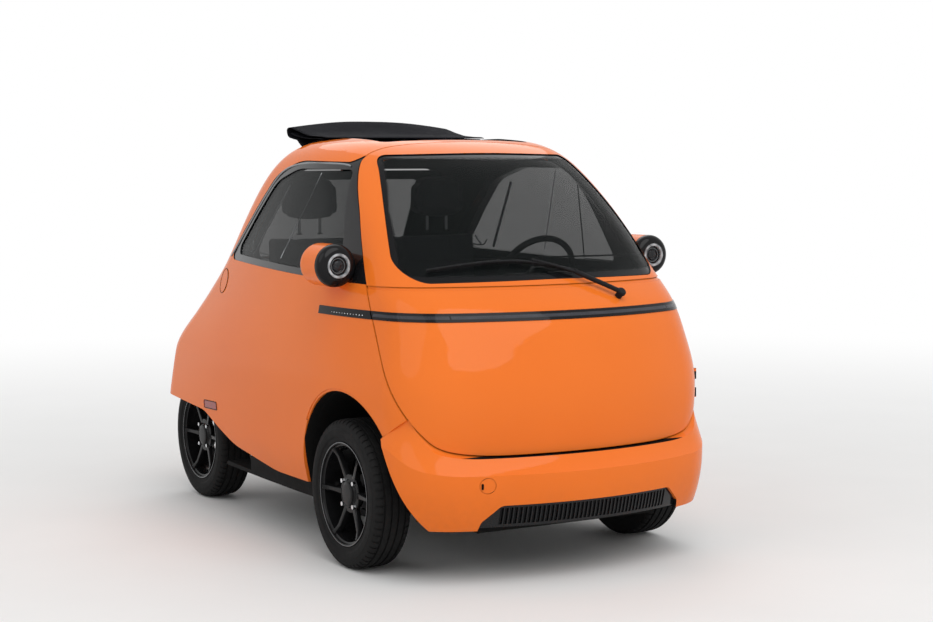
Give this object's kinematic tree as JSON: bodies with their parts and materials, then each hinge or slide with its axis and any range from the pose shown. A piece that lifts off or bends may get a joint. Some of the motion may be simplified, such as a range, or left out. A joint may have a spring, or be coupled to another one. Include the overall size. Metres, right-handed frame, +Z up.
{
  "type": "microcar",
  "caption": "Two-seat bubble microcar with a front-opening door, a narrower rear track, round lamp pods, a fabric roof folded back and a rear tailgate.",
  "frame": {"origin": "on the ground at the middle of the car's overall length and width", "axes": "+X to the car's left, -Y to its front, +Z up"},
  "size_m": [1.468, 2.5225, 1.57],
  "materials": {
    "body_paint": "gloss orange",
    "black_trim": "black",
    "window_glass": "lightly tinted",
    "strip_lamp": "dark lamp strip",
    "tail_lamp": "red lens",
    "pod_shell": "orange with black nose",
    "lamp_lens": "clear",
    "mirror_face": "mirror",
    "canvas": "black canvas",
    "underbody_black": "matte black",
    "housing_grey": "satin",
    "seat_cloth": "dark cloth",
    "cabin_black": "matte black",
    "chassis_steel": "satin black",
    "tyre_rubber": "rubber",
    "rim_black": "gloss black"
  },
  "bodies": {
    "body": {"side_panel_right": "body_paint", "side_panel_left": "body_paint", "roof_panel": "body_paint", "rear_panel": "body_paint", "front_bumper": "body_paint", "charge_flap": "body_paint", "bumper_grille": "black_trim", "window_frame_right": "black_trim", "window_frame_left": "black_trim", "side_glass_right": "window_glass", "side_glass_left": "window_glass", "fender_light_right": "strip_lamp", "fender_light_left": "strip_lamp", "side_marker_right": "tail_lamp", "side_marker_left": "tail_lamp", "pod_right": "pod_shell", "pod_left": "pod_shell", "lamp_right": "lamp_lens", "lamp_left": "lamp_lens", "mirror_right": "mirror_face", "mirror_left": "mirror_face", "soft_top": "canvas", "underbody": "underbody_black", "battery": "housing_grey", "motor": "housing_grey", "seat_cushion": "seat_cloth", "seat_back": "seat_cloth", "headrest_right": "seat_cloth", "headrest_left": "seat_cloth", "steering_column": "cabin_black", "steering_wheel": "cabin_black", "front_suspension_right": "chassis_steel", "front_suspension_left": "chassis_steel", "rear_suspension": "chassis_steel", "door_hinge_pin": "chassis_steel", "lid_hinge_pin": "chassis_steel"},
    "front_door": {"door_panel": "body_paint", "windscreen": "window_glass", "door_light_strip": "strip_lamp", "door_bar": "cabin_black", "wiper": "black_trim"},
    "tailgate": {"tailgate_panel": "body_paint", "rear_glass": "window_glass", "rear_light_strip": "tail_lamp"},
    "knuckle_right": {"knuckle_right": "chassis_steel"},
    "knuckle_left": {"knuckle_left": "chassis_steel"},
    "wheel_front_right": {"tyre_front_right": "tyre_rubber", "rim_front_right": "rim_black"},
    "wheel_front_left": {"tyre_front_left": "tyre_rubber", "rim_front_left": "rim_black"},
    "wheel_rear_right": {"tyre_rear_right": "tyre_rubber", "rim_rear_right": "rim_black"},
    "wheel_rear_left": {"tyre_rear_left": "tyre_rubber", "rim_rear_left": "rim_black"}
  },
  "joints": [
    {"name": "door_hinge", "type": "hinge", "parent": "body", "child": "front_door", "pos_m": [0.606, -0.99, 0.62], "axis": [0, 0, 1], "range_deg": [0, 80]},
    {"name": "tailgate_hinge", "type": "hinge", "parent": "body", "child": "tailgate", "pos_m": [0, 0.506, 1.376], "axis": [1, 0, 0], "range_deg": [0, 70]},
    {"name": "steer_right", "type": "hinge", "parent": "body", "child": "knuckle_right", "pos_m": [-0.5375, -0.64, 0.26], "axis": [0, 0, 1], "range_deg": [-30, 30]},
    {"name": "steer_left", "type": "hinge", "parent": "body", "child": "knuckle_left", "pos_m": [0.5375, -0.64, 0.26], "axis": [0, 0, 1], "range_deg": [-30, 30]},
    {"name": "spin_front_right", "type": "hinge", "parent": "knuckle_right", "child": "wheel_front_right", "pos_m": [-0.5725, -0.64, 0.26], "axis": [1, 0, 0], "continuous": true},
    {"name": "spin_front_left", "type": "hinge", "parent": "knuckle_left", "child": "wheel_front_left", "pos_m": [0.5725, -0.64, 0.26], "axis": [1, 0, 0], "continuous": true},
    {"name": "spin_rear_right", "type": "hinge", "parent": "body", "child": "wheel_rear_right", "pos_m": [-0.4685, 0.927, 0.26], "axis": [1, 0, 0], "continuous": true},
    {"name": "spin_rear_left", "type": "hinge", "parent": "body", "child": "wheel_rear_left", "pos_m": [0.4685, 0.927, 0.26], "axis": [1, 0, 0], "continuous": true}
  ],
  "couplings": [
    {"joint": "steer_left", "follows": "steer_right", "ratio": 1}
  ]
}
